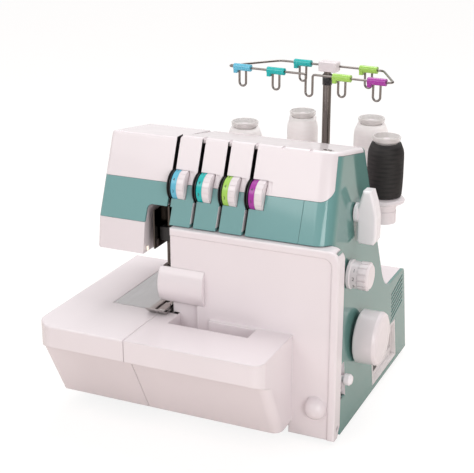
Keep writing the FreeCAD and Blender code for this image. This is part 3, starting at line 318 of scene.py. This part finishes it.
SLIT_COUNT = 7
SLIT_PITCH, SLIT_SHIFT = 5, 0.6
SLIT_FRONT, SLIT_LOW = 106, 58
SLIT_LONG, SLIT_HIGH = 45, 2.2
SLIT_SLOPE = 0.21
LINING_GAP = 0.1
LINING_DEEP, LINING_SHALLOW = -2.8, -1.9
# Black plates just inside the cooling slits: painted shade for the dark behind them.
vent_shade_lining = bmesh.new()
for index in range(SLIT_COUNT):
    front = SLIT_FRONT + SLIT_SHIFT * index
    low = SLIT_LOW + SLIT_PITCH * index
    for vert in slab(
        vent_shade_lining,
        (LINING_DEEP, front + LINING_GAP, low + LINING_GAP),
        (LINING_SHALLOW, front + SLIT_LONG - LINING_GAP, low + SLIT_HIGH - LINING_GAP),
    ):
        vert.co.z += SLIT_SLOPE * (vert.co.y - front)
        vert.co.x += side_x(vert.co.z)
piece("vent_shade_lining", vent_shade_lining, black, "machine")

# Left end of the head: white cap, mint band and white chin round the needle recess.
# The recess holds a polished shield, and the sewing lamp shines at the foot of it.
dress(white, "face_cap", "face_chin")
dress(mint, "face_band")
smoked = metal("dark_chrome", colour(96, 90, 86), rough=0.12, stretch=(1, 1, 0.1))
dress(smoked, "thread_shield")

lamp_glow = Finish("sewing_lamp", Emission_Strength=0.35, Roughness=0.3)
lamp_spread = lamp_glow.noise(scale=300)
lamp_glow.set(Base_Color=lamp_glow.mix(lamp_spread, colour(255, 250, 240), colour(240, 232, 220)))
lamp_glow.set(Emission_Color=lamp_glow.mix(lamp_spread, colour(255, 246, 228), colour(255, 238, 210)))
lamp_lens = soft_slabs([((-73.4, -84.3, 176.5), (-71.2, -82.2, 181.5))], edge=0.5)
piece("sewing_lamp", lamp_lens, lamp_glow, "machine")

# Front: the table that slides off, and the looper cover with its shelf, scrap trough and knife guard,
# which tilts on a steel rod. All are thick glossy mouldings with well rounded edges.
soft_white = moulded("warm_white_soft_edges", WHITE, rough=0.22, edge=0.0016)
dress(soft_white, "cloth_table", "looper_cover")
dress(white, "knife_guard")
dress(steel, "cover_hinge_rod")

# Sewing tools: dark chromed bars, darkened also as painted shade round the needles, a bright foot, and
# hardened steel loopers, knives and feed dog.
# The foot carries its side plates, its ankle and two toes, and two screws hold the needles.
dress(chrome, "presser_foot")
# The needle and presser bars take the dark chrome partly as painted shade for the shadowed strip they stand
# in.
dress(smoked, "needle_bar", "presser_bar")
dress(steel, "lower_looper", "upper_looper", "upper_knife", "lower_knife", "feed_dog")

foot_parts = soft_slabs([
    ((-66, -58, 118), (-63.6, -40, 126)),
    ((-47.4, -58, 118), (-45.6, -40, 124)),
    ((-60.5, -56, 122), (-50.5, -52.5, 134)),
    ((-65.5, -98, 117.9), (-58.6, -62, 119.4)),
    ((-52.4, -98, 117.9), (-46, -74, 120.4)),
], edge=0.4)
piece("foot_fittings", foot_parts, chrome, "presser_unit")

clamp_screws = bmesh.new()
for x in (-58.2, -52.8):
    stud(clamp_screws, (x, -72, 153), radius=1.8, length=2.6, segments=20)
piece("needle_screws", clamp_screws, steel, "needle_unit")


# Tension units: a black grooved disc in each slot, and a white ribbed thumbwheel with a coloured ring.
# Dark figures stand round each ring, and thin plates line the slots above and below the wheel; the black
# ones above are painted shade for the dark inside of the slots.
def lettering(text, height):
    """Flat letters of a plain typeface about the origin, as a mesh in the XY plane."""
    curve = bpy.data.curves.new("letters", "FONT")
    curve.body = text
    curve.size = height
    curve.align_x = "CENTER"
    curve.align_y = "CENTER"
    holder = bpy.data.objects.new("letters", curve)
    scene.collection.objects.link(holder)
    drawn = holder.evaluated_get(bpy.context.evaluated_depsgraph_get())
    mesh = bmesh.new()
    mesh.from_mesh(drawn.to_mesh())
    drawn.to_mesh_clear()
    bpy.data.objects.remove(holder)
    bpy.data.curves.remove(curve)
    return mesh


def absorb(together, mesh):
    """Move one mesh into another."""
    store = bpy.data.meshes.new("store")
    mesh.to_mesh(store)
    mesh.free()
    together.from_mesh(store)
    bpy.data.meshes.remove(store)


def bent_figures(figures, height, x, centre, radius):
    """Figures printed round a wheel along X: each is given with its angle above the front."""
    y, z = centre
    together = bmesh.new()
    for text, degrees in figures:
        flat = lettering(text, height)
        for vert in flat.verts:
            angle = math.radians(degrees) + vert.co.y / radius
            vert.co = Vector((x + vert.co.x, y - radius * math.cos(angle), z + radius * math.sin(angle)))
        absorb(together, flat)
    return together


def lands(centre, count, share, radii, span):
    """Raised lands round a wheel along X, with a groove between each and the next."""
    y, z = centre
    inner, outer = radii
    left, right = span
    mesh = bmesh.new()
    for index in range(count):
        angle = 2 * math.pi * index / count
        verts = [
            mesh.verts.new((x, y - radius * math.cos(angle), z + radius * math.sin(angle)))
            for x, radius in ((left, inner), (right, inner), (right, outer), (left, outer))
        ]
        bmesh.ops.spin(mesh, geom=[mesh.faces.new(verts)], cent=(0, y, z), axis=(-1, 0, 0),
                       angle=2 * math.pi / count * share, steps=4)
    bmesh.ops.holes_fill(mesh, edges=[edge for edge in mesh.edges if edge.is_boundary], sides=4)
    bmesh.ops.recalc_face_normals(mesh, faces=mesh.faces)
    return mesh


FRONT_FOOT_Y, FRONT_FOOT_Z = -84, 208
FRONT_LEAN = 32 / 81
CHEEK_THICK = 0.3
CHEEK_INSET = 0.3


def slot_cheek(mesh, x, low, high, deep):
    """A thin plate on the left wall of a slot, from one height of the sloping front to another."""
    for vert in slab(mesh, (x, 0, low), (x + CHEEK_THICK, deep, high)):
        vert.co.y += FRONT_FOOT_Y + (vert.co.z - FRONT_FOOT_Z) * FRONT_LEAN + CHEEK_INSET


FIRST_SLOT, SLOT_PITCH = -52.5, 28.33
SLOT_LEFTS = [FIRST_SLOT + SLOT_PITCH * index for index in range(4)]
# The black cheeks on the slot walls above the wheels are painted shade for the dark inside of the slots.
shade_cheeks = bmesh.new()
pale_cheeks = bmesh.new()
for x in SLOT_LEFTS:
    slot_cheek(shade_cheeks, x, low=258, high=291, deep=12)
for x in SLOT_LEFTS[1:]:
    slot_cheek(pale_cheeks, x, low=211, high=231, deep=7.5)
piece("slot_cheeks_painted_shade", shade_cheeks, black, "machine")
piece("slot_cheeks_pale", pale_cheeks, white, "machine")

DIAL_AXIS = (-61, 243.9)
RING_MIDDLE = 7.4
RING_PRINT_R = 16.56
WHEEL_LEFT, WHEEL_RIGHT = 11.4, 18.6
FIGURE_STEP = 42
FRONT_FIGURE, FRONT_ANGLE = 4, 34.5
RING_COLOURS = {
    "blue": colour(98, 189, 218), "teal": colour(2, 184, 182), "lime": colour(166, 214, 92),
    "magenta": colour(168, 46, 160),
}
dial_figures = [(str(number), FRONT_ANGLE + FIGURE_STEP * (number - FRONT_FIGURE)) for number in range(1, 9)]
ink = moulded("dark_ink", colour(24, 30, 38), rough=0.5)
dress(black, "tension_discs")
for left, (name, shade) in zip(SLOT_LEFTS, RING_COLOURS.items()):
    ring_plastic = moulded(f"{name}_gloss", shade, rough=0.2, edge=0.0005)
    dress(ring_plastic, f"dial_ring_{name}", f"guide_sleeve_{name}")
    dress(white, f"tension_dial_{name}")
    printed = bent_figures(dial_figures, height=4.6, x=left + RING_MIDDLE, centre=DIAL_AXIS,
                           radius=RING_PRINT_R)
    piece(f"dial_figures_{name}", printed, ink, f"tension_{name}")
    ribs = lands(DIAL_AXIS, count=18, share=0.93, radii=(16.2, 16.8),
                 span=(left + WHEEL_LEFT, left + WHEEL_RIGHT))
    piece(f"thumb_ribs_{name}", ribs, white, f"tension_{name}")

# Controls on the handwheel side: handwheel, stitch length dial with its figures, feed lever with a
# printed scale, foot lifter and the mains inlet with its switch.
STITCH_AXIS = (-34, 165.6)
FRONT_LENGTH, LENGTH_STEP = 2, 36
# A lighter copy of the white for the feed lever and the lifter: painted light, to lift them out of the shade
# they stand in.
lighter_white_painted_light = moulded("lighter_white_painted_light_gloss", colour(250, 245, 248), rough=0.2, edge=0.0012)
dress(soft_white, "handwheel")
dress(lighter_white_painted_light, "feed_lever", "lifter_lever")
dress(white, "stitch_dial")
dress(satin_white, "power_inlet")
dress(black, "power_switch")
flutes = lands(STITCH_AXIS, count=14, share=0.82, radii=(13.5, 14.5), span=(141, 149.5))
piece("stitch_flutes", flutes, white, "stitch_control")
lengths = [(str(number), LENGTH_STEP * (FRONT_LENGTH - number)) for number in range(1, 6)]
stitch_figures = bent_figures(lengths, height=5, x=137.2, centre=STITCH_AXIS, radius=14.05)
piece("stitch_figures", stitch_figures, ink, "stitch_control")

SCALE_FRONT, SCALE_BACK = -69.8, -66.4
SCALE_LOW, SCALE_STEP = 43, 5.6
MARK_HIGH = 2.2
scale_marks = bmesh.new()
for step in range(7):
    z = SCALE_LOW + SCALE_STEP * step
    x = side_x(z)
    slab(scale_marks, (x - 0.3, SCALE_FRONT, z), (x + 0.12, SCALE_BACK, z + MARK_HIGH))
slab(scale_marks, (127.2, -54.5, 164.6), (127.8, -51, 166.4))
piece("scale_marks", scale_marks, ink, "machine")


def side_slab(mesh, inner, low, high, gap):
    """Add a box from an inner plane to a gap inside the leaning side, between two spots (y, z)."""
    for vert in slab(mesh, (inner, *low), (inner + 1, *high)):
        if vert.co.x > inner + 0.5:
            vert.co.x = side_x(vert.co.z) - gap


slot_lining = bmesh.new()
side_slab(slot_lining, inner=129.6, low=(-54.6, 42.2), high=(-54.1, 77.8), gap=0.3)
piece("feed_slot_lining", slot_lining, white, "machine")

RIM_FRONT, RIM_BACK = 34.1, 119.9
RIM_LOW, RIM_HIGH = 12.1, 55.9
RIM_WIDE = 2.5
inlet_rim = bmesh.new()
for low, high in (
    ((RIM_FRONT, RIM_LOW), (RIM_BACK, RIM_LOW + RIM_WIDE)),
    ((RIM_FRONT, RIM_HIGH - RIM_WIDE), (RIM_BACK, RIM_HIGH)),
    ((RIM_FRONT, RIM_LOW + RIM_WIDE), (RIM_FRONT + RIM_WIDE, RIM_HIGH - RIM_WIDE)),
    ((RIM_BACK - RIM_WIDE, RIM_LOW + RIM_WIDE), (RIM_BACK, RIM_HIGH - RIM_WIDE)),
):
    side_slab(inlet_rim, inner=132.3, low=low, high=high, gap=0.2)
piece("inlet_rim", inlet_rim, satin_white, "machine")


# Thread stand: white moulded arms and cups, and clear grey cones on them.
# Three cones hold white thread and one holds black, wound crosswise.
def spun(outline, steps=72):
    """A turned form round Z from its half outline of (radius, height) in millimetres."""
    mesh = bmesh.new()
    spots = [mesh.verts.new((radius, 0, height)) for radius, height in outline]
    edges = [mesh.edges.new(pair) for pair in zip(spots, spots[1:])]
    bmesh.ops.spin(mesh, geom=spots + edges, cent=(0, 0, 0), axis=(0, 0, 1), angle=2 * math.pi, steps=steps,
                   use_merge=True)
    bmesh.ops.recalc_face_normals(mesh, faces=mesh.faces)
    return mesh


def lay_winding(mesh):
    """The thread's own map: turns round the cone across, and millimetres of height up."""
    layer = mesh.loops.layers.uv.new("winding")
    for face in mesh.faces:
        turns = [math.atan2(loop.vert.co.y, loop.vert.co.x) / (2 * math.pi) % 1 for loop in face.loops]
        crosses = max(turns) - min(turns) > 0.5
        for loop, turn in zip(face.loops, turns):
            loop[layer].uv = (turn + 1 if crosses and turn < 0.5 else turn, loop.vert.co.z)


CORE_R = 12.2
THREAD_FOOT, THREAD_TOP = 217.2, 274.6


def wound_cone(x, y, radius):
    """The body of thread on one cone, slightly barrelled, with a sloping shoulder."""
    mesh = spun([
        (CORE_R, THREAD_FOOT), (radius - 1.6, THREAD_FOOT), (radius - 0.9, 219), (radius - 0.4, 226),
        (radius, 238), (radius, 258), (radius - 0.2, 264), (radius - 0.8, 267.5), (radius - 2, 270.5),
        (15.6, THREAD_TOP), (CORE_R, THREAD_TOP),
    ])
    lay_winding(mesh)
    bmesh.ops.translate(mesh, vec=(x, y, 0), verts=mesh.verts)
    return mesh


def wound(name, shade, shadow, fluff):
    """Thread wound to and fro: fine turns, and broader crossing lays that catch the light, painted lighter
    as painted highlight.
    """
    finish = Finish(name, Roughness=0.62, Sheen_Weight=fluff)
    winding = finish.node("ShaderNodeUVMap", {"uv_map": "winding"}, {})
    turns = finish.along("X", winding) * (2 * math.pi)
    height = finish.along("Y", winding)

    def lays(pitch, starts):
        return (height * (2 * math.pi / pitch) + turns * starts).wave()

    crossing = lays(pitch=5.2, starts=3).at_least(lays(pitch=4.4, starts=-3)) * finish.noise(scale=90)
    relief = lays(pitch=0.55, starts=2) * 0.4 + crossing
    # The lays are painted towards the lighter colour and the thread between them towards the darker: partly
    # the winding's own pattern, partly painted highlight and painted shade.
    finish.set(Base_Color=finish.mix(crossing * 0.9, shadow, shade))
    finish.set(Normal=finish.raised(relief, strength=0.35, distance=0.0005, edge=0.001))
    return finish


dress(white, "spool_stand", "cone_cups")
clear_grey = moulded("clear_grey", colour(236, 231, 229), rough=0.36)
clear_grey.set(Alpha=0.45 + clear_grey.noise(scale=40) * 0.1)
dress(clear_grey, "cone_cores")
white_thread = wound("white_thread", colour(255, 251, 250), colour(250, 244, 243), fluff=0.5)
black_thread = wound("black_thread", colour(52, 48, 47), colour(20, 18, 18), fluff=0.0)

FULL_R, USED_R = 19.2, 17.6
white_wound = bmesh.new()
for x, y, radius in ((-33, 74, FULL_R), (7, 147, USED_R), (89, 147, FULL_R)):
    absorb(white_wound, wound_cone(x, y, radius))
white_cones = piece("white_wound", white_wound, white_thread, "machine", smooth=True)
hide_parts("white_threads")
black_wound = wound_cone(129, 74, FULL_R)
black_cone = piece("black_wound", black_wound, black_thread, "machine", smooth=True)
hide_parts("black_thread")

# Mast and thread guide: chromed tube and rod with a black collar between them,
# the bent guide wire and its white hub. The sleeves on the wire take the colours of the dials.
mast_chrome = metal("mast_chrome", colour(122, 116, 112), rough=0.12, stretch=(4, 4, 0.1))
wire_chrome = metal("wire_chrome", colour(142, 136, 132), rough=0.12)
dress(mast_chrome, "mast_tube", "mast_rod")
dress(wire_chrome, "guide_wire")
dress(white, "guide_hub")
COLLAR_INNER, COLLAR_OUTER = 4.7, 5.3
COLLAR_LOW, COLLAR_HIGH = 322, 333.4
collar = spun([
    (COLLAR_INNER, COLLAR_LOW), (COLLAR_OUTER, COLLAR_LOW), (COLLAR_OUTER, COLLAR_HIGH),
    (COLLAR_INNER, COLLAR_HIGH), (COLLAR_INNER, COLLAR_LOW),
], steps=32)
bmesh.ops.translate(collar, vec=(48, 112, 0), verts=collar.verts)
piece("mast_collar", collar, black, "machine", smooth=True)

# Studio: a pale floor that the camera sees as white, a sky that mirrors brighter at the upper left,
# three soft boxes and the camera.
BACKDROP = (1, 1, 1, 1)
SKY_TINT = (1.0, 0.975, 0.97, 1)
EVEN_LEVEL, EVEN_RISE = 0.52, 0.12
RIGHT_SHARE, UP_SHARE = -0.75, 0.3
MIRROR_LEVEL, MIRROR_SWING = 0.55, 0.7
MIRROR_LEAST, MIRROR_MOST = 0.05, 1.1
scene.view_settings.view_transform = "Standard"
scene.world = bpy.data.worlds.new("studio")
scene.world.use_nodes = True
sky = Tree(scene.world)
heading = sky.node("ShaderNodeTexCoord", {}, {}, "Generated")
upward = sky.along("Z", heading)
upper_left = sky.along("X", heading) * RIGHT_SHARE + upward * UP_SHARE
mirrored = sky.node("ShaderNodeLightPath", {}, {}, "Is Glossy Ray")
even = EVEN_LEVEL + upward * EVEN_RISE
uneven = (MIRROR_LEVEL + upper_left * MIRROR_SWING).at_least(MIRROR_LEAST).at_most(MIRROR_MOST)
strength = even * (1 - mirrored) + uneven * mirrored
light = sky.node("ShaderNodeBackground", {}, {"Color": SKY_TINT, "Strength": strength})
backdrop = sky.node("ShaderNodeBackground", {}, {"Color": BACKDROP, "Strength": 1.0})
shown = sky.node("ShaderNodeMixShader", {}, {0: sky.looked_at(), 1: light, 2: backdrop})
sky.join(sky.nodes["World Output"].inputs[0], shown)

FLOOR_GLOW = 1.16
GLOW_SHARE = 0.74
floor_mesh = bmesh.new()
bmesh.ops.create_grid(floor_mesh, x_segments=1, y_segments=1, size=4)
floor_data = bpy.data.meshes.new("floor")
floor_mesh.to_mesh(floor_data)
floor_mesh.free()
floor = bpy.data.objects.new("floor", floor_data)
scene.collection.objects.link(floor)
floor_finish = Finish("pale_floor", Roughness=0.9, Base_Color=(0.8, 0.735, 0.7, 1))
glow = floor_finish.node("ShaderNodeEmission", {}, {"Strength": FLOOR_GLOW})
lit = Value(floor_finish, floor_finish.surface.outputs[0])
glowing = floor_finish.looked_at() * GLOW_SHARE
floor_look = floor_finish.node("ShaderNodeMixShader", {}, {0: glowing, 1: lit, 2: glow})
floor_finish.join(floor_finish.nodes["Material Output"].inputs[0], floor_look)
floor_data.materials.append(floor_finish.material)


def soft_box(name, place, target, width, height, power):
    lamp = bpy.data.lights.new(name, "AREA")
    lamp.shape = "RECTANGLE"
    lamp.size = width
    lamp.size_y = height
    lamp.energy = power
    lamp_object = bpy.data.objects.new(name, lamp)
    lamp_object.location = place
    lamp_object.rotation_euler = (Vector(target) - Vector(place)).to_track_quat("-Z", "Y").to_euler()
    scene.collection.objects.link(lamp_object)


soft_box("key", (-0.9, -1.6, 1.5), (0, 0, 0.15), width=1.4, height=1.0, power=8.6)
soft_box("top", (0.1, 0.6, 1.6), (0, 0, 0.2), width=1.2, height=1.2, power=15)
soft_box("fill", (1.3, -1.3, 0.5), (0, 0, 0.15), width=0.8, height=0.8, power=8)

CAMERA_PLACE = (0.46013, -1.04486, 0.57739)
CAMERA_TILT, CAMERA_TURN = 70.6, 24.2
camera_data = bpy.data.cameras.new("camera")
camera_data.sensor_width = 36
camera_data.lens = 86.35
camera = bpy.data.objects.new("camera", camera_data)
camera.location = CAMERA_PLACE
camera.rotation_euler = (math.radians(CAMERA_TILT), 0, math.radians(CAMERA_TURN))
scene.collection.objects.link(camera)
scene.camera = camera
